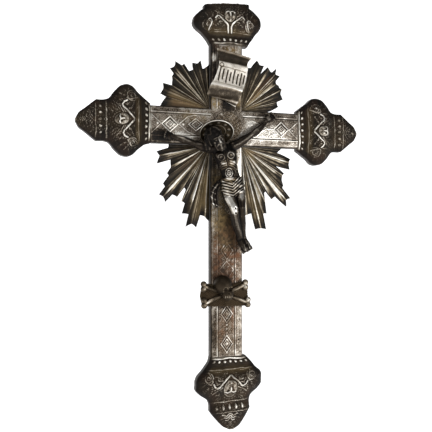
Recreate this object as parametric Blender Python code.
# A silver crucifix that hangs on a wall: a flat cross with four swelling
# embossed terminals, four fans of ridged rays, a curled title scroll, a
# rosette, a cast figure with a tilted halo, and a skull with crossed bones.
# Metres, +Z up, +X to the viewer's right. The back of the cross lies on Y = 0,
# its front faces -Y, and the origin is the middle of the crossing, on the back.
import math

import bmesh
import bpy
import numpy as np
from mathutils import Matrix, Vector

# Cross body
BODY_DEPTH = 0.0110
POST_WIDTH = 0.0374
ARM_HEIGHT = 0.0406
BODY_BEVEL = 0.0020
SIDE_REACH = 0.0872
TOP_REACH = 0.0930
FOOT_REACH = 0.2570
JOINT_GAP = 0.0003

# Engraved lozenges on the body
LOZENGE_HALF_LENGTH = 0.0102
LOZENGE_HALF_WIDTH = 0.0094
POST_LOZENGE_HALF_LENGTH = 0.0088
POST_LOZENGE_HALF_WIDTH = 0.0080
LOZENGE_RISE = 0.0006
ARM_LOZENGE_AT = 0.0655
INNER_LOZENGE_AT = 0.0362
POST_LOZENGES_ABOVE_FOOT = (0.1185, 0.0464, 0.0150)

# Terminals: length from the joint, and how far each swells. Their outline and
# carving are drawn in units, of which a whole terminal is TERMINAL_UNITS long.
TERMINAL_UNITS = 79.6
SIDE_TERMINAL_LENGTH = 0.0796
FOOT_TERMINAL_LENGTH = 0.0825
TOP_TERMINAL_LENGTH = 0.0465
TERMINAL_SPREAD = 0.0390
TERMINAL_SWELL = 0.0072
TERMINAL_LIP = 0.0012
TOP_WHOLE_LENGTH = 0.0796
BREAK_WIDTH = 1.33  # of the joint, at the broken end
BREAK_WIDENS = 30
PEARL_RADIUS = 0.0023
PEARLS_IN_ROW = 7
MASK_RADIUS = 0.0065
SCROLL_RISE = 0.0017
TERMINAL_RIM = 0.62
RIM_ANGLE = math.pi / 2 * 0.88
TERMINAL_DETAIL = 0.1

# Ray fans: sheet metal set back from the front of the cross
RAY_SHEET = 0.0013
RAY_FRONT = 0.0058
RAY_RIDGE = 0.0012
RAY_REACH = 0.0990
RAY_UNITS = 97.5

# Title scroll
SCROLL_SHEET = 0.0012
SCROLL_WIDTH = 0.0352
SCROLL_HEIGHT = 0.0560
SCROLL_CENTRE_X = 0.0040
SCROLL_BOTTOM_Z = 0.0270
SCROLL_CURL = 0.0096
SCROLL_SAG = 0.0012

# Rosette at the crossing
ROSETTE_RADIUS = 0.0165
ROSETTE_RISE = 0.0026
ROSETTE_RIM = 0.0010
ROSETTE_CENTRE = (0.0013, 0.0017)
ROSETTE_SCALES = 12

# Figure, and the height of the block of proportions that it is drawn in
FIGURE_HEIGHT = 0.1450
FIGURE_UNITS = 145.0
FIGURE_VOXEL = 0.0009
FIGURE_DETAIL = 0.062

# Halo and nail
HALO_RADIUS = 0.0190
HALO_SHEET = 0.0010
HALO_DISH = 0.0022
NAIL_RADIUS = 0.0011
NAIL_HEAD_RADIUS = 0.0024
NAIL_DEPTH = 0.0050

# Skull and crossed bones
BONES_WIDTH = 0.0590
BONES_HEIGHT = 0.0285
BONES_X = -0.0030
BONES_ABOVE_FOOT = 0.0704
BONES_PLATE = 0.0020
SKULL_RADIUS = 0.0104
BONE_RADIUS = 0.0024
SKULL_VOXEL = 0.0008
SKULL_DETAIL = 0.036

POST_HALF = POST_WIDTH / 2
ARM_HALF = ARM_HEIGHT / 2
FRONT_Y = -BODY_DEPTH
CARRIED_Y = FRONT_Y - JOINT_GAP


def clear_scene():
    for old in list(bpy.data.objects):
        bpy.data.objects.remove(old, do_unlink=True)


def silver(name, colour, roughness):
    material = bpy.data.materials.new(name)
    material.use_nodes = True
    shader = material.node_tree.nodes["Principled BSDF"]
    shader.inputs["Base Color"].default_value = (*colour, 1.0)
    shader.inputs["Metallic"].default_value = 1.0
    shader.inputs["Roughness"].default_value = roughness
    return material


def add_object(name, mesh, material=None):
    thing = bpy.data.objects.new(name, mesh)
    bpy.context.collection.objects.link(thing)
    if material:
        mesh.materials.append(material)
    return thing


def mesh_from(name, points, faces):
    mesh = bpy.data.meshes.new(name)
    mesh.from_pydata([tuple(p) for p in points], [], faces)
    work = bmesh.new()
    work.from_mesh(mesh)
    bmesh.ops.recalc_face_normals(work, faces=work.faces)
    work.to_mesh(mesh)
    work.free()
    return mesh


def round_shading(thing, degrees=40.0):
    thing.data.shade_smooth()
    thing.data.set_sharp_from_angle(angle=math.radians(degrees))


def grid_solid(name, front, back):
    # Closes two grids of points, each rows x columns x 3, into one solid.
    rows, columns = front.shape[:2]
    points = np.concatenate([front.reshape(-1, 3), back.reshape(-1, 3)])
    below = rows * columns
    faces = []
    for i in range(rows - 1):
        for j in range(columns - 1):
            a = i * columns + j
            quad = (a, a + 1, a + columns + 1, a + columns)
            faces.append(quad)
            faces.append(tuple(below + v for v in reversed(quad)))
    rim = [(0, j) for j in range(columns)]
    rim += [(i, columns - 1) for i in range(1, rows)]
    rim += [(rows - 1, j) for j in range(columns - 2, -1, -1)]
    rim += [(i, 0) for i in range(rows - 2, 0, -1)]
    loop = [i * columns + j for i, j in rim]
    for k, a in enumerate(loop):
        b = loop[(k + 1) % len(loop)]
        faces.append((b, a, below + a, below + b))
    return mesh_from(name, points, faces)


def flat_back_solid(name, front, back_y):
    # Closes a grid of points with one flat back.
    rows, columns = front.shape[:2]
    faces = []
    for i in range(rows - 1):
        for j in range(columns - 1):
            a = i * columns + j
            faces.append((a, a + 1, a + columns + 1, a + columns))
    rim = [j for j in range(columns)]
    rim += [i * columns + columns - 1 for i in range(1, rows)]
    rim += [(rows - 1) * columns + j for j in range(columns - 2, -1, -1)]
    rim += [i * columns for i in range(rows - 2, 0, -1)]
    points = [tuple(p) for p in front.reshape(-1, 3)]
    first = len(points)
    for v in rim:
        points.append((points[v][0], back_y, points[v][2]))
    for k, a in enumerate(rim):
        b = (k + 1) % len(rim)
        faces.append((rim[b], a, first + k, first + b))
    faces.append(tuple(first + k for k in range(len(rim))))
    return mesh_from(name, points, faces)


def smooth_curve(stations, at):
    # Passes a monotone curve through (place, value) stations.
    xs = np.array([s[0] for s in stations])
    ys = np.array([s[1] for s in stations])
    steps = np.diff(xs)
    slopes = np.diff(ys) / steps
    tangents = np.zeros(len(xs))
    tangents[0], tangents[-1] = slopes[0], slopes[-1]
    for k in range(1, len(xs) - 1):
        if slopes[k - 1] * slopes[k] > 0:
            tangents[k] = 2 * slopes[k - 1] * slopes[k] / (slopes[k - 1] + slopes[k])
    place = np.clip(np.searchsorted(xs, at) - 1, 0, len(xs) - 2)
    t = (np.clip(at, xs[0], xs[-1]) - xs[place]) / steps[place]
    return (
        ys[place] * (2 * t**3 - 3 * t**2 + 1)
        + ys[place + 1] * (3 * t**2 - 2 * t**3)
        + steps[place] * tangents[place] * (t**3 - 2 * t**2 + t)
        + steps[place] * tangents[place + 1] * (t**3 - t**2)
    )


def distance_to_line(u, v, points):
    # Distance from each (u, v) to a line through the points.
    best = np.full(np.shape(u), 1e9)
    for (u0, v0), (u1, v1) in zip(points[:-1], points[1:]):
        du, dv = u1 - u0, v1 - v0
        t = np.clip(((u - u0) * du + (v - v0) * dv) / (du * du + dv * dv), 0, 1)
        best = np.minimum(best, np.hypot(u - u0 - t * du, v - v0 - t * dv))
    return best


def ridge(distance, half_width):
    # A rounded ridge, 1 on its line and 0 at half_width from it.
    return np.sqrt(np.clip(1 - (distance / half_width) ** 2, 0, 1))


def cut(thing, cutter):
    cutter.hide_render = True
    cutter.display_type = "WIRE"
    modifier = thing.modifiers.new("cut", "BOOLEAN")
    modifier.operation = "DIFFERENCE"
    modifier.object = cutter


def box(name, low, high):
    points = [
        (x, y, z) for x in (low[0], high[0]) for y in (low[1], high[1]) for z in (low[2], high[2])
    ]
    faces = [(0, 1, 3, 2), (4, 6, 7, 5), (0, 4, 5, 1), (2, 3, 7, 6), (0, 2, 6, 4), (1, 5, 7, 3)]
    return add_object(name, mesh_from(name, points, faces))


# Cross body

def lozenge(work, x, z, half_x, half_z):
    # One engraved lozenge as stepped four-sided rings that start in the body.
    rings = [(1.0, -LOZENGE_RISE), (0.86, LOZENGE_RISE), (0.64, LOZENGE_RISE)]
    rings += [(0.54, LOZENGE_RISE / 4), (0.24, LOZENGE_RISE)]
    loops = []
    for scale, rise in rings:
        corners = [(half_x, 0), (0, half_z), (-half_x, 0), (0, -half_z)]
        loops.append(
            [work.verts.new((x + a * scale, FRONT_Y - rise, z + b * scale)) for a, b in corners]
        )
    for low, high in zip(loops[:-1], loops[1:]):
        for k in range(4):
            work.faces.new((low[k], low[(k + 1) % 4], high[(k + 1) % 4], high[k]))
    work.faces.new(loops[-1])
    work.faces.new(list(reversed(loops[0])))


def make_cross_body(material):
    p, a = POST_HALF, ARM_HALF
    outline = [(-p, -FOOT_REACH), (p, -FOOT_REACH), (p, -a), (SIDE_REACH, -a), (SIDE_REACH, a)]
    outline += [(p, a), (p, TOP_REACH), (-p, TOP_REACH), (-p, a), (-SIDE_REACH, a)]
    outline += [(-SIDE_REACH, -a), (-p, -a)]
    work = bmesh.new()
    front = work.faces.new([work.verts.new((x, FRONT_Y, z)) for x, z in outline])
    grown = bmesh.ops.extrude_face_region(work, geom=[front])
    back = [v for v in grown["geom"] if isinstance(v, bmesh.types.BMVert)]
    bmesh.ops.translate(work, verts=back, vec=(0, BODY_DEPTH, 0))
    bmesh.ops.recalc_face_normals(work, faces=work.faces)
    ends = (SIDE_REACH, TOP_REACH, FOOT_REACH)
    bevelled = []
    for edge in work.edges:
        low, high = (v.co for v in edge.verts)
        on_front = low.y < FRONT_Y / 2 and high.y < FRONT_Y / 2
        along_end = abs(low.x) == abs(high.x) and abs(abs(low.x) - SIDE_REACH) < 1e-6
        along_end |= low.z == high.z and min(abs(abs(low.z) - r) for r in ends[1:]) < 1e-6
        if on_front and not along_end:
            bevelled.append(edge)
    bmesh.ops.bevel(work, geom=bevelled, offset=BODY_BEVEL, segments=2, affect="EDGES", profile=0.6)
    mesh = bpy.data.meshes.new("cross_body")
    work.to_mesh(mesh)
    work.free()
    body = add_object("cross_body", mesh, material)
    relief = bmesh.new()
    for side in (-1, 1):
        lozenge(relief, side * ARM_LOZENGE_AT, 0.0006, LOZENGE_HALF_LENGTH, LOZENGE_HALF_WIDTH)
    lozenge(relief, -INNER_LOZENGE_AT, 0.0012, LOZENGE_HALF_WIDTH, LOZENGE_HALF_WIDTH * 0.8)
    for above in POST_LOZENGES_ABOVE_FOOT:
        z = above - FOOT_REACH
        lozenge(relief, -0.0006, z, POST_LOZENGE_HALF_WIDTH, POST_LOZENGE_HALF_LENGTH)
    bmesh.ops.recalc_face_normals(relief, faces=relief.faces)
    raised = bpy.data.meshes.new("lozenges")
    relief.to_mesh(raised)
    relief.free()
    added = add_object("lozenges", raised)
    added.hide_render = True
    added.display_type = "WIRE"
    joined = body.modifiers.new("lozenges", "BOOLEAN")
    joined.operation = "UNION"
    joined.object = added
    return body


# Terminals. Each is drawn in u, out from its joint, and v, across.

SIDE_NAMES = {"left": (-1, 0), "right": (1, 0), "top": (0, 1), "bottom": (0, -1)}
TERMINAL_PROFILE = (
    (0, 0.00), (5, 0.14), (9, 0.30), (13, 0.50), (20, 0.92), (24.5, 1.00), (31, 0.93),
    (38, 0.60), (46, 0.09), (52, 0.02), (58, 0.03),
)
BUD_PROFILE = ((58, 1.0), (63, 0.82), (70, 0.56), (76, 0.35), (TERMINAL_UNITS, 0.06))
# How far each terminal wanders to +X or +Z, how much each half of it is widened,
# and how much further out its +X or +Z side reaches than its middle
TERMINAL_SWAY = {
    "left": ((0, 0.9), (6, 2.4), (22, 3.0), (50, 1.9), (80, 1.2)),
    "right": ((0, 0.6), (12, 0.8), (24, 0.5), (80, 0.3)),
    "top": ((0, 3.2), (8, 3.4), (20, 1.8), (30, 2.0), (47, 1.0)),
    "bottom": ((0, 2.0), (7, 4.0), (20, 3.6), (36, 3.1), (50, 3.9), (80, 6.0)),
}
TERMINAL_WIDER = {
    "left": ((0, 0.3), (10, 0.7), (22, 0.0), (80, 0.0)),
    "right": ((0, 2.0), (7, 3.4), (16, 2.0), (24, 0.7), (80, 0.7)),
    "top": ((0, 2.4), (8, 2.9), (20, 1.2), (30, 1.6), (47, 2.0)),
    "bottom": ((0, 1.0), (8, 1.6), (20, 0.0), (26, 0.0), (37, 3.2), (52, 2.9), (68, 3.6), (80, 1.2)),
}
TERMINAL_SKEW = {
    "left": ((0, 0.0), (80, 0.0)),
    "right": ((0, 0.0), (80, 0.0)),
    "top": ((0, 0.0), (47, 2.6)),
    "bottom": ((0, 0.0), (12, -0.6), (24, -2.2), (50, -1.2), (80, 0.0)),
}
CUSHION_PROFILE = (
    (0, 0.10), (6, 0.16), (9, 0.06), (14, 0.34), (24, 1.00), (32, 0.92), (41, 0.40),
    (48, 0.12), (51, 0.04), (55, 0.22), (62, 0.10), (72, -0.20), (TERMINAL_UNITS, -0.50),
)
SCROLL_ARM = ((16, 1), (21, 4), (27, 9.5), (31.5, 14), (31.5, 17.5), (27.5, 19), (25, 16.5))
VOLUTE = ((13.5, 15), (16.5, 24), (21.5, 30), (27, 31), (30, 27.5), (27.5, 24), (23.5, 24.5))


def terminal_half_width(u, joint_half, side, unit):
    grow = smooth_curve(TERMINAL_PROFILE, u)
    half = joint_half + TERMINAL_LIP + grow * (TERMINAL_SPREAD - joint_half - TERMINAL_LIP)
    half = np.where(u > BUD_PROFILE[0][0], half * smooth_curve(BUD_PROFILE, u), half)
    if side == "top":
        half = np.maximum(half, joint_half * BREAK_WIDTH * (u > BREAK_WIDENS))
    return half + unit * smooth_curve(TERMINAL_WIDER[side], u)


def terminal_relief(u, v, half, unit):
    # Heights of the embossing, in units: band, pearls, branching scrolls, mask,
    # wings, volutes, drops and leaf.
    rise = 1.1 * ridge(np.abs(u - 1.3), 1.3)
    pitch = 2 * (half - 1.5) / PEARLS_IN_ROW
    across = (v + pitch / 2 * (PEARLS_IN_ROW % 2)) % pitch - pitch / 2
    rise += 1.6 * ridge(np.hypot(u - 5, across), PEARL_RADIUS / unit)
    side = np.abs(v)
    scroll = SCROLL_RISE / unit
    rise = np.maximum(rise, scroll * ridge(distance_to_line(u, side, SCROLL_ARM), 1.7))
    rise = np.maximum(rise, scroll * ridge(distance_to_line(u, side, VOLUTE), 1.8))
    head = np.hypot((u - 30.5) / 1.12, v)
    rise = np.maximum(rise, 3.2 * ridge(head, MASK_RADIUS / unit))
    wing = np.hypot((u - 40) / 0.6, side - 8.5)
    rise = np.maximum(rise, 1.4 * ridge(wing, 6.5))
    drop_pitch = half / 3
    drop_across = v % drop_pitch - drop_pitch / 2
    rise = np.maximum(rise, 1.3 * ridge(np.hypot(u - 55, drop_across), 2.4))
    leaf = np.hypot((u - 65.5) / 1.6, v)
    return np.maximum(rise, 1.4 * ridge(leaf, 4.8))


def make_terminal(side, joint_half, reach, length, material, broken=False):
    out_x, out_z = SIDE_NAMES[side]
    unit = (TOP_WHOLE_LENGTH if broken else length) / TERMINAL_UNITS
    rows, columns = 66, 53
    s = np.linspace(0, 1, rows)[:, None]
    t = np.sin(np.linspace(-1, 1, columns) * RIM_ANGLE)[None, :] / math.sin(RIM_ANGLE)
    u = s * length / unit + 0 * t
    half = terminal_half_width(u, joint_half, side, unit)
    v = half * t
    rim = TERMINAL_RIM * BODY_DEPTH
    crown = (1 - np.abs(t) ** 2.6) ** 0.55
    top = BODY_DEPTH + TERMINAL_SWELL * smooth_curve(CUSHION_PROFILE, u)
    relief = unit * terminal_relief(u, v / unit, half / unit, unit)
    height = rim + (top - rim) * crown + relief * (1 - np.abs(t) ** 8)
    out = unit * (u + t * smooth_curve(TERMINAL_SKEW[side], u)) + JOINT_GAP
    across = v + unit * smooth_curve(TERMINAL_SWAY[side], u)
    front = np.empty((rows, columns, 3))
    front[..., 0] = out_x * (reach + out) + (across if out_z else 0)
    front[..., 1] = -height
    front[..., 2] = out_z * (reach + out) + (across if out_x else 0)
    name = "terminal_" + side
    thing = add_object(name, flat_back_solid(name, front, 0.0), material)
    thinned = thing.modifiers.new("thinned", "DECIMATE")
    thinned.ratio = TERMINAL_DETAIL
    round_shading(thing, 50.0)
    return thing


# Ray fans. Each outline is a run of (degrees from the arm, reach, height), with
# the reach in units of which the longest ray has RAY_UNITS. Height 1 is a ridge
# and 0 a valley. Swallow-tailed rays end in two points.

FANS = {
    "upper_left": (-1, 1, (
        (0, 56, 0), (12, 50.5, 1), (14, 57.5, 0), (20, 56.0, 1), (26, 58.5, 0), (28, 49.0, 1),
        (34, 51.0, 0), (38, 54.5, 1), (42, 55.0, 0), (43, 61.5, 0), (48, 60.0, 1), (52.5, 63.5, 0),
        (55, 56.0, 1), (59, 56.5, 0), (60, 47.0, 0), (66, 46.5, 1), (68.5, 53.5, 0),
        (74, 51.5, 1), (79, 54.5, 0), (80, 45.0, 0), (84, 46.0, 1), (90, 50.0, 0),
    )),
    "upper_right": (1, 1, (
        (0, 31.0, 0), (9, 46.0, 0), (16, 44.5, 1), (17.5, 54.0, 0), (24, 53.0, 0),
        (29, 56.0, 1), (35, 55.5, 0), (38, 54.0, 1), (41, 56.5, 0), (42, 63.5, 0), (47, 61.0, 1),
        (50, 66.5, 0), (51, 59.5, 0), (57, 60.0, 1), (58, 61.5, 0), (61.5, 49.0, 0),
        (62.5, 60.0, 0), (67, 58.0, 1), (72, 61.5, 0), (77, 50.5, 0), (83, 50.5, 1), (90, 49.0, 0),
    )),
    "lower_left": (-1, -1, (
        (0, 46.5, 0), (5, 47.0, 0), (8, 60.5, 0), (13, 58.0, 1), (20, 63.0, 0), (21, 47.5, 0),
        (30, 51.0, 1), (33.7, 57.7, 0), (36.5, 57.9, 1), (39.5, 68.0, 0), (42.5, 68.5, 0),
        (44, 79.2, 0), (47.5, 77.8, 1), (51.5, 80.4, 0), (52.5, 69.0, 0), (57, 68.4, 1),
        (58.5, 55.0, 0), (61.5, 56.5, 0), (62.5, 70.0, 1), (66.5, 70.0, 0), (67.5, 81.6, 0),
        (72.5, 80.0, 1), (73.3, 93.8, 0), (76.5, 89.0, 1), (80.5, 91.7, 0), (82, 77.8, 0),
        (86, 79.0, 1), (90, 84.0, 0),
    )),
    "lower_right": (1, -1, (
        (0, 49.0, 0), (7, 44.0, 0), (11, 62.0, 0), (15, 60.0, 1), (22, 64.0, 0), (25.5, 46.5, 0),
        (29, 60.0, 0), (32, 59.0, 1), (36.5, 61.5, 0), (39.5, 67.0, 0), (42.5, 67.5, 1),
        (43.5, 83.0, 0), (47.5, 80.5, 1), (50.5, 86.5, 0), (53, 69.0, 0), (58, 69.0, 1),
        (59, 58.0, 0), (62, 59.0, 0), (65, 66.5, 1), (67.5, 81.0, 0), (71, 79.5, 1),
        (72, 97.5, 0), (76, 94.5, 1), (79.5, 94.5, 0), (80.5, 76.0, 0), (86, 77.0, 1),
        (90, 79.0, 0),
    )),
}
RAY_STATIONS = (0.05, 0.52, 1.0)


def make_fan(name, material):
    side_x, side_z, outline = FANS[name]
    corner = Vector((POST_HALF + JOINT_GAP, ARM_HALF + JOINT_GAP))
    front = np.empty((len(outline), len(RAY_STATIONS), 3))
    for i, (degrees, reach, high) in enumerate(outline):
        angle = math.radians(degrees)
        for j, share in enumerate(RAY_STATIONS):
            out = share * reach * RAY_REACH / RAY_UNITS
            front[i, j, 0] = side_x * (corner.x + out * math.cos(angle))
            front[i, j, 1] = -RAY_FRONT - RAY_RIDGE * (high - 0.5) * min(1.0, share * 2)
            front[i, j, 2] = side_z * (corner.y + out * math.sin(angle))
    back = front + np.array((0, RAY_SHEET, 0))
    label = "rays_" + name
    return add_object(label, grid_solid(label, front, back), material)


# Title scroll: a sheet that curls forward at its lower end and folds at its top.
# Each station is (height share, left edge share, right edge share, share of the
# curl's depth, drop of the left end against the right one as a height share).

SCROLL_STATIONS = (
    (0.985, -0.53, 0.64, 0.57, 0.075), (0.90, -0.44, 0.58, 0.10, 0.05), (0.82, -0.42, 0.55, 0.15, 0.035),
    (0.745, -0.43, 0.53, 0.48, 0.035), (0.55, -0.51, 0.49, 0.44, 0.035), (0.356, -0.65, 0.37, 0.65, 0.052),
    (0.286, -0.74, 0.30, 1.0, 0.056), (0.136, -0.87, 0.25, 0.80, -0.006), (0.07, -0.66, 0.22, 0.25, 0.035),
    (0.0, -0.31, 0.15, 0.0, 0.07),
)


def make_titulus(material):
    rows, columns = 19, 5
    places = np.linspace(0, len(SCROLL_STATIONS) - 1, rows)
    knots = np.arange(len(SCROLL_STATIONS))
    columns_of = list(zip(*SCROLL_STATIONS))
    tall, left, right, depth, drop = (
        smooth_curve(list(zip(knots, values)), places)[:, None] for values in columns_of
    )
    t = np.linspace(0, 1, columns)[None, :]
    front = np.empty((rows, columns, 3))
    sag = SCROLL_SAG * np.sin(math.pi * t) * np.minimum(depth / 0.42, 1)
    front[..., 0] = SCROLL_CENTRE_X + SCROLL_WIDTH * (left + (right - left) * t)
    front[..., 1] = CARRIED_Y - SCROLL_SHEET - depth * SCROLL_CURL - sag
    front[..., 2] = SCROLL_BOTTOM_Z + SCROLL_HEIGHT * (tall + drop * (1 - 2 * t))
    along = np.gradient(front, axis=0)
    normal = np.stack([0 * along[..., 0], -along[..., 2], along[..., 1]], axis=-1)
    normal /= np.linalg.norm(normal, axis=-1, keepdims=True)
    back = front + normal * np.sign(normal[rows // 2, 0, 1]) * SCROLL_SHEET
    back[..., 1] = np.minimum(back[..., 1], CARRIED_Y)
    thing = add_object("titulus", grid_solid("titulus", front, back), material)
    round_shading(thing)
    return thing


# Rosette: a low dome with rings of overlapping scales.

def make_rosette(material):
    work = bmesh.new()
    rings = ((1.0, 0.0, 1.0), (1.0, 0.25, 1.0), (0.72, 0.62, 0.94), (0.66, 0.38, 1.0), (0.40, 0.9, 0.94))
    rings += ((0.34, 0.66, 1.0), (0.16, 1.0, 1.0))
    around = ROSETTE_SCALES * 2
    loops = []
    for radius, rise, valley in rings:
        loop = []
        for k in range(around):
            angle = 2 * math.pi * k / around
            out = ROSETTE_RADIUS * radius * (1.0 if k % 2 else valley)
            depth = ROSETTE_RISE * rise * (1.0 if k % 2 else 0.8)
            depth += ROSETTE_RIM if rise > 0 else 0.0
            x = ROSETTE_CENTRE[0] + out * math.cos(angle)
            z = ROSETTE_CENTRE[1] + out * math.sin(angle)
            loop.append(work.verts.new((x, CARRIED_Y - depth, z)))
        loops.append(loop)
    for low, high in zip(loops[:-1], loops[1:]):
        for k in range(around):
            work.faces.new((low[k], low[(k + 1) % around], high[(k + 1) % around], high[k]))
    work.faces.new(loops[-1])
    work.faces.new(list(reversed(loops[0])))
    bmesh.ops.recalc_face_normals(work, faces=work.faces)
    mesh = bpy.data.meshes.new("rosette")
    work.to_mesh(mesh)
    work.free()
    return add_object("rosette", mesh, material)


# Figure. Its places are (x, forward, z) in the figure's own units, 145 of them
# to its height, with forward measured out from the front of the cross.

def figure_place(x, forward, z):
    unit = FIGURE_HEIGHT / FIGURE_UNITS
    return Vector((x * unit, CARRIED_Y - forward * unit, z * unit))


def figure_size(value):
    return value * FIGURE_HEIGHT / FIGURE_UNITS


def add_ellipsoid(work, centre, axes, sizes, place=figure_place, size=figure_size, fine=3):
    # axes are rows: the directions of the three half sizes, as (x, forward, z).
    turn = Matrix.Identity(3)
    for column, axis in enumerate(axes):
        way = Vector((axis[0], -axis[1], axis[2])).normalized()
        turn.col[column] = way * size(sizes[column])
    matrix = Matrix.Translation(place(*centre)) @ turn.to_4x4()
    made = bmesh.ops.create_icosphere(work, subdivisions=fine, radius=1.0, matrix=matrix)
    if matrix.determinant() < 0:
        faces = {f for v in made["verts"] for f in v.link_faces}
        bmesh.ops.reverse_faces(work, faces=list(faces))


UPRIGHT = ((1, 0, 0), (0, 1, 0), (0, 0, 1))


def add_limb(work, stations, flat=1.0, place=figure_place, size=figure_size):
    # A tapering limb of spheres that overlap along a line of (x, forward, z, radius).
    for (x0, f0, z0, r0), (x1, f1, z1, r1) in zip(stations[:-1], stations[1:]):
        length = math.dist((x0, f0, z0), (x1, f1, z1))
        steps = max(1, math.ceil(length / (0.45 * min(r0, r1))))
        for k in range(steps + 1):
            t = k / steps
            centre = (x0 + (x1 - x0) * t, f0 + (f1 - f0) * t, z0 + (z1 - z0) * t)
            radius = r0 + (r1 - r0) * t
            sizes = (radius, radius * flat, radius)
            add_ellipsoid(work, centre, UPRIGHT, sizes, place, size, fine=2)


TORSO = (
    (-7.5, 10.5, -23, 11, 5.5), (-7.2, 11, -28, 13.5, 7.2), (-6.6, 11.5, -33, 13.2, 8.2),
    (-5.6, 11.5, -38, 12.6, 8.0), (-4.0, 11.5, -44, 11.2, 7.2), (-1.8, 11.5, -50, 10.4, 6.4),
    (0.2, 11.5, -56, 10.8, 6.8), (1.6, 11.2, -62, 12.2, 7.6), (2.8, 11.2, -68, 12.8, 8.2),
)
ARM_LEFT = (
    (-18, 10, -25, 6.2), (-25, 9.8, -25.6, 5.4), (-33, 9.2, -24.0, 5.0), (-40, 8.4, -21.4, 3.9),
    (-52, 7.2, -17.4, 4.3), (-58, 5.4, -15.6, 3.4), (-65, 3.0, -13.4, 2.8),
)
ARM_RIGHT = (
    (3, 10.5, -22.5, 6.2), (10, 10.2, -19.2, 5.4), (17, 9.4, -14.2, 5.0), (22.5, 8.6, -10.6, 4.0),
    (32.8, 7.4, -3.8, 4.4), (38.6, 5.9, 1, 3.5), (43.5, 4.3, 5.8, 2.7), (47, 3.2, 9, 2.8),
)
LEG_LEFT = (
    (-3.4, 12, -72, 8.0), (-3.0, 16.8, -81, 7.0), (-0.6, 21.2, -90.5, 5.6), (2.2, 19.6, -100, 4.9),
    (4.8, 15, -107.5, 5.4), (7.8, 11.6, -114, 4.7), (11.0, 9.0, -121.5, 3.8), (12.4, 7.2, -126.4, 3.9),
    (14.4, 10.4, -132.5, 4.0), (17.0, 13.8, -138, 3.2), (17.6, 15.2, -141, 1.9),
)
LEG_RIGHT = (
    (8.6, 11.5, -72, 7.6), (9.6, 16, -82, 6.4), (9.6, 18.6, -91, 5.1), (10.6, 17.0, -98.5, 4.6),
    (12.6, 12.5, -108, 4.9), (14.4, 9.2, -115.5, 4.1), (16.2, 7.3, -121.6, 3.4), (17.8, 6.3, -126.6, 3.6),
    (20.0, 9.3, -131.5, 3.7), (21.6, 11.6, -136.4, 2.8), (22.0, 12.6, -139.2, 1.8),
)
NECK = ((-8, 11.5, -24, 6.0), (-14, 16.5, -21.5, 5.4), (-19, 21, -17, 5.2))
HEAD_CENTRE = (-21.5, 24.0, -16.5)
HEAD_UP = (-0.45, 0.33, 0.83)
HEAD_AHEAD = (0.166, 0.944, -0.285)
HAIR_LOCKS = (
    ((-28.5, 20, -12, 4.0), (-30.0, 16.5, -20, 3.4), (-28.5, 14.5, -27, 2.4)),
    ((-14.5, 22, -13, 3.6), (-11.0, 19, -20, 3.0), (-8.5, 17.5, -25.5, 2.0)),
)
HAND_LEFT = ((-66.5, 2.6, -13.0), (-0.95, 0.0, 0.32))
HAND_RIGHT = ((49.4, 2.6, 11.2), (0.70, 0.0, 0.71))
FOLD_DROPS = (0.0, 4.2, 8.4, 12.6)
TIE = (
    (-8, 10, -60.5, 4.2), (-13, 7, -64, 4.4), (-16, 5, -70, 4.6), (-16.2, 3.8, -78, 4.2),
    (-14.2, 3.0, -86, 3.0),
)
HALO_CENTRE = (-17.5, 15.2, -8.0)
HALO_FACING = (-0.10, 0.62, -0.78)
NAIL_AT = (48.0, 11.4)
PALM_FRONT = 5.6


def head_place(sideways, ahead, up):
    # A place in the head's own frame, as (x, forward, z) of the figure.
    above = Vector(HEAD_UP).normalized()
    forth = Vector(HEAD_AHEAD).normalized()
    beside = forth.cross(above)
    return Vector(HEAD_CENTRE) + beside * sideways + forth * ahead + above * up


def add_head(work):
    above = Vector(HEAD_UP).normalized()
    forth = Vector(HEAD_AHEAD).normalized()
    frame = (forth.cross(above), forth, above)
    add_ellipsoid(work, head_place(0, -2.0, 4.2), frame, (8.6, 9.8, 8.8))
    add_ellipsoid(work, head_place(0, 1.2, -2.0), frame, (6.6, 7.4, 9.6))
    add_ellipsoid(work, head_place(0, 4.2, -9.6), frame, (4.2, 3.8, 4.6))
    add_ellipsoid(work, head_place(0, 7.6, -1.2), frame, (1.3, 2.4, 2.9))
    add_ellipsoid(work, head_place(0, 6.6, 2.6), frame, (5.2, 1.9, 1.5))
    for lock in HAIR_LOCKS:
        add_limb(work, lock)


def add_hand(work, centre, along):
    # A palm with four fingers that spread a little, and a thumb.
    way = Vector(along).normalized()
    across = Vector((way.z, 0, -way.x))
    flat = (tuple(way), (0, 1, 0), tuple(across))
    add_ellipsoid(work, centre, flat, (4.6, 2.3, 4.0))
    for k in range(4):
        spread = (k - 1.5) * 1.75
        root = Vector(centre) + way * 2.6 + across * spread
        tip = root + way * (6.2 - abs(k - 1.3)) + across * spread * 0.25 + Vector((0, 1.2, 0))
        add_limb(work, ((*root, 1.15), (*tip, 0.95)))
    thumb = Vector(centre) + way * 0.5 + Vector((0, 1.0, 0))
    up = 1 if across.z > 0 else -1
    add_limb(work, ((*thumb, 1.4), (*(thumb + way * 3.4 + across * up * 4.0), 1.1)))


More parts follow.
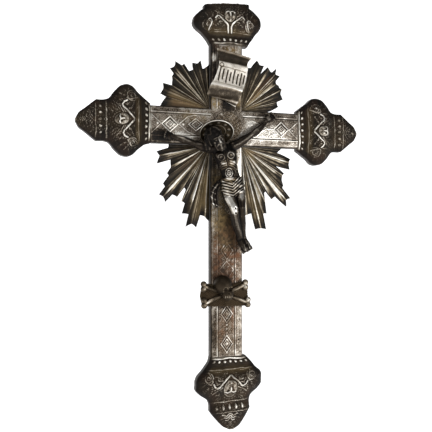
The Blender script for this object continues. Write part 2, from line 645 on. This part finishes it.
def add_loincloth(work):
    # A belt of cloth round the hips, with chevron folds and a hanging tie.
    hips = ((1.0, 11.3, -60, 13.2, 8.8), (2.4, 11.5, -66, 14.2, 9.8), (3.4, 12.0, -73, 14.0, 9.8))
    for x, forward, z, wide, deep in hips:
        add_ellipsoid(work, (x, forward, z), UPRIGHT, (wide, deep, 5.2))
    for drop in FOLD_DROPS:
        left = (-10.5, 13, -58.5 - drop, 1.5)
        middle = (1.2 + drop * 0.1, 21.0, -65.5 - drop * 0.95, 2.0)
        right = (12.6, 14.5, -57.5 - drop, 1.5)
        add_limb(work, (left, middle, right))
    add_limb(work, ((11.5, 14, -74, 5.0), (13.6, 12, -82, 3.0)))
    add_limb(work, TIE, flat=0.5)


def make_corpus(material):
    work = bmesh.new()
    for (x0, f0, z0, a0, b0), (x1, f1, z1, a1, b1) in zip(TORSO[:-1], TORSO[1:]):
        for k in range(4):
            t = k / 4
            centre = (x0 + (x1 - x0) * t, f0 + (f1 - f0) * t, z0 + (z1 - z0) * t)
            sizes = (a0 + (a1 - a0) * t, b0 + (b1 - b0) * t, 4.0)
            add_ellipsoid(work, centre, UPRIGHT, sizes)
    for x, z in ((-13.4, -32.6), (-1.6, -30.4)):
        add_ellipsoid(work, (x, 17.2, z), UPRIGHT, (5.8, 3.2, 4.4))
    for x, z in ((-9.6, -41.5), (0.6, -40.0)):
        add_ellipsoid(work, (x, 16.4, z), UPRIGHT, (4.6, 2.8, 3.6))
    add_ellipsoid(work, (-2.0, 16.0, -53.5), UPRIGHT, (5.6, 3.2, 6.2))
    for limb in (ARM_LEFT, ARM_RIGHT, LEG_LEFT, LEG_RIGHT, NECK):
        add_limb(work, limb)
    add_hand(work, *HAND_LEFT)
    add_hand(work, *HAND_RIGHT)
    add_head(work)
    add_loincloth(work)
    mesh = bpy.data.meshes.new("corpus")
    work.to_mesh(mesh)
    work.free()
    corpus = add_object("corpus", mesh, material)
    skin = corpus.modifiers.new("skin", "REMESH")
    skin.mode = "VOXEL"
    skin.voxel_size = FIGURE_VOXEL
    eased = corpus.modifiers.new("eased", "SMOOTH")
    eased.factor = 0.5
    eased.iterations = 4
    thinned = corpus.modifiers.new("thinned", "DECIMATE")
    thinned.ratio = FIGURE_DETAIL
    cut(corpus, back_cutter())
    cut(corpus, halo_cutter())
    cut(corpus, nail_bore("hand_bore", CARRIED_Y + JOINT_GAP, -FIGURE_HEIGHT))
    return corpus


def back_cutter():
    # Trims the figure flat where it lies on the cross.
    reach = FIGURE_HEIGHT * 1.2
    return box("back_cutter", (-reach, CARRIED_Y, -reach), (reach, BODY_DEPTH * 2, reach))


def halo_frame():
    facing = Vector((HALO_FACING[0], -HALO_FACING[1], HALO_FACING[2])).normalized()
    across = Vector((0, 0, 1)).cross(facing).normalized()
    turn = Matrix((across, facing.cross(across), facing)).transposed()
    return Matrix.Translation(figure_place(*HALO_CENTRE)) @ turn.to_4x4()


def halo_cutter():
    # Flattens the back of the head where the halo lies against it.
    half = HALO_RADIUS * 1.05
    cutter = box("halo_cutter", (-half, -half, -half), (half, half, JOINT_GAP))
    cutter.matrix_world = halo_frame()
    return cutter


# Halo: a thin dished plate with a rolled rim, flat behind the head.

def make_halo(material):
    around = 28
    profile = ((0.0, 0.0), (0.52, 0.0), (0.80, 0.35), (0.95, 1.0), (1.0, 0.75))
    work = bmesh.new()
    front, back = [], []
    for share, dish in profile[1:]:
        out = HALO_RADIUS * share
        ahead = HALO_DISH * dish
        for ring, height in ((front, ahead), (back, ahead - HALO_SHEET)):
            ring.append([
                work.verts.new((out * math.cos(a), out * math.sin(a), height))
                for a in (2 * math.pi * k / around for k in range(around))
            ])
    chain = back + list(reversed(front))
    for low, high in zip(chain[:-1], chain[1:]):
        for k in range(around):
            work.faces.new((low[k], low[(k + 1) % around], high[(k + 1) % around], high[k]))
    work.faces.new(front[0])
    work.faces.new(back[0])
    bmesh.ops.recalc_face_normals(work, faces=work.faces)
    mesh = bpy.data.meshes.new("halo")
    work.to_mesh(mesh)
    work.free()
    halo = add_object("halo", mesh, material)
    halo.matrix_world = halo_frame()
    round_shading(halo)
    return halo


# Nail

def turned(name, profile, sides, centre):
    # Spins a (radius, y) profile round the line along Y through centre.
    work = bmesh.new()
    loops = []
    for radius, y in profile:
        loops.append([
            work.verts.new((centre[0] + radius * math.cos(a), y, centre[1] + radius * math.sin(a)))
            for a in (2 * math.pi * k / sides for k in range(sides))
        ])
    for low, high in zip(loops[:-1], loops[1:]):
        for k in range(sides):
            work.faces.new((low[k], low[(k + 1) % sides], high[(k + 1) % sides], high[k]))
    work.faces.new(loops[0])
    work.faces.new(loops[-1])
    bmesh.ops.recalc_face_normals(work, faces=work.faces)
    mesh = bpy.data.meshes.new(name)
    work.to_mesh(mesh)
    work.free()
    return add_object(name, mesh)


def nail_centre():
    return (figure_size(NAIL_AT[0]), figure_size(NAIL_AT[1]))


def nail_bore(name, low_y, high_y):
    radius = NAIL_RADIUS + JOINT_GAP
    return turned(name, ((radius, low_y), (radius, high_y)), 10, nail_centre())


def make_nail(material):
    palm = CARRIED_Y - figure_size(PALM_FRONT)
    seat = palm - JOINT_GAP
    tip = CARRIED_Y + NAIL_DEPTH
    profile = [(NAIL_RADIUS * 0.5, tip), (NAIL_RADIUS, tip - NAIL_RADIUS), (NAIL_RADIUS, seat)]
    for k in range(4):
        angle = math.pi / 2 * k / 4
        profile.append((NAIL_HEAD_RADIUS * math.cos(angle), seat - NAIL_HEAD_RADIUS * 0.7 * math.sin(angle)))
    nail = turned("nail_right_hand", profile, 10, nail_centre())
    nail.data.materials.append(material)
    round_shading(nail)
    return nail


# Skull and crossed bones, one casting. Places are shares of its own size.

def bones_place(x, forward, z):
    return Vector((
        BONES_X + x * BONES_WIDTH / 2,
        CARRIED_Y - forward,
        BONES_ABOVE_FOOT - FOOT_REACH + z * BONES_HEIGHT / 2,
    ))


def plain(value):
    return value


def make_skull_and_crossbones(material):
    work = bmesh.new()
    corners = ((-0.92, 0.74), (-0.66, 0.84), (0.0, 0.5), (0.62, 0.94), (0.82, 0.90), (0.90, 0.3))
    corners += ((0.92, -0.35), (1.0, -0.72), (0.86, -1.0), (-0.74, -0.94), (-0.94, -0.70), (-1.0, -0.1))
    plate = work.faces.new([work.verts.new(bones_place(x, 0, z)) for x, z in corners])
    grown = bmesh.ops.extrude_face_region(work, geom=[plate])
    moved = [v for v in grown["geom"] if isinstance(v, bmesh.types.BMVert)]
    bmesh.ops.translate(work, verts=moved, vec=(0, -BONES_PLATE, 0))
    bmesh.ops.recalc_face_normals(work, faces=work.faces)
    deep = BONES_PLATE + BONE_RADIUS * 0.5
    ends = (((-0.82, 0.62), (0.84, -0.70)), ((-0.80, -0.66), (0.74, 0.68)))
    for (x0, z0), (x1, z1) in ends:
        shaft = ((x0, deep, z0, BONE_RADIUS), (x1, deep, z1, BONE_RADIUS))
        for k in range(25):
            t = k / 24
            centre = (x0 + (x1 - x0) * t, deep, z0 + (z1 - z0) * t)
            add_ellipsoid(work, centre, UPRIGHT, (BONE_RADIUS,) * 3, bones_place, plain, 2)
        for x, _, z, radius in shaft:
            for shift in (-0.19, 0.19):
                knob = (x + 0.05 * math.copysign(1, x), deep, z + shift)
                add_ellipsoid(work, knob, UPRIGHT, (radius * 1.45,) * 3, bones_place, plain)
    r = SKULL_RADIUS
    add_ellipsoid(work, (-0.12, r * 0.35, 0.74), UPRIGHT, (r, r * 1.05, r), bones_place, plain)
    add_ellipsoid(work, (0.02, r * 0.75, 0.02), UPRIGHT, (r * 0.66, r * 0.62, r * 0.72), bones_place, plain)
    mesh = bpy.data.meshes.new("skull_and_crossbones")
    work.to_mesh(mesh)
    work.free()
    skull = add_object("skull_and_crossbones", mesh, material)
    skin = skull.modifiers.new("skin", "REMESH")
    skin.mode = "VOXEL"
    skin.voxel_size = SKULL_VOXEL
    eased = skull.modifiers.new("eased", "SMOOTH")
    eased.factor = 0.5
    eased.iterations = 2
    sockets = bmesh.new()
    for x, z, size in ((-0.16, 0.36, 0.24), (0.18, 0.38, 0.22), (0.04, 0.06, 0.14)):
        add_ellipsoid(sockets, (x, r * 1.36, z), UPRIGHT, (r * size,) * 3, bones_place, plain)
    hollow = bpy.data.meshes.new("sockets")
    sockets.to_mesh(hollow)
    sockets.free()
    thinned = skull.modifiers.new("thinned", "DECIMATE")
    thinned.ratio = SKULL_DETAIL
    cut(skull, add_object("sockets", hollow))
    cut(skull, box("bones_back", (-0.1, CARRIED_Y, -0.3), (0.1, BODY_DEPTH, 0.0)))
    return skull


def main():
    clear_scene()
    bright = silver("worn silver", (0.62, 0.57, 0.50), 0.38)
    tarnished = silver("tarnished silver", (0.20, 0.17, 0.14), 0.45)
    ray_silver = silver("ray sheet silver", (0.26, 0.22, 0.17), 0.42)
    figure_silver = silver("figure silver", (0.24, 0.22, 0.20), 0.40)
    body = make_cross_body(bright)
    cut(body, nail_bore("body_bore", CARRIED_Y + NAIL_DEPTH + JOINT_GAP, 2 * FRONT_Y))
    side = (SIDE_REACH, SIDE_TERMINAL_LENGTH, tarnished)
    make_terminal("left", ARM_HALF, *side)
    make_terminal("right", ARM_HALF, *side)
    make_terminal("top", POST_HALF, TOP_REACH, TOP_TERMINAL_LENGTH, tarnished, broken=True)
    make_terminal("bottom", POST_HALF, FOOT_REACH, FOOT_TERMINAL_LENGTH, tarnished)
    for name in FANS:
        make_fan(name, ray_silver)
    make_titulus(bright)
    make_rosette(ray_silver)
    make_corpus(figure_silver)
    make_halo(figure_silver)
    make_nail(tarnished)
    make_skull_and_crossbones(tarnished)


main()
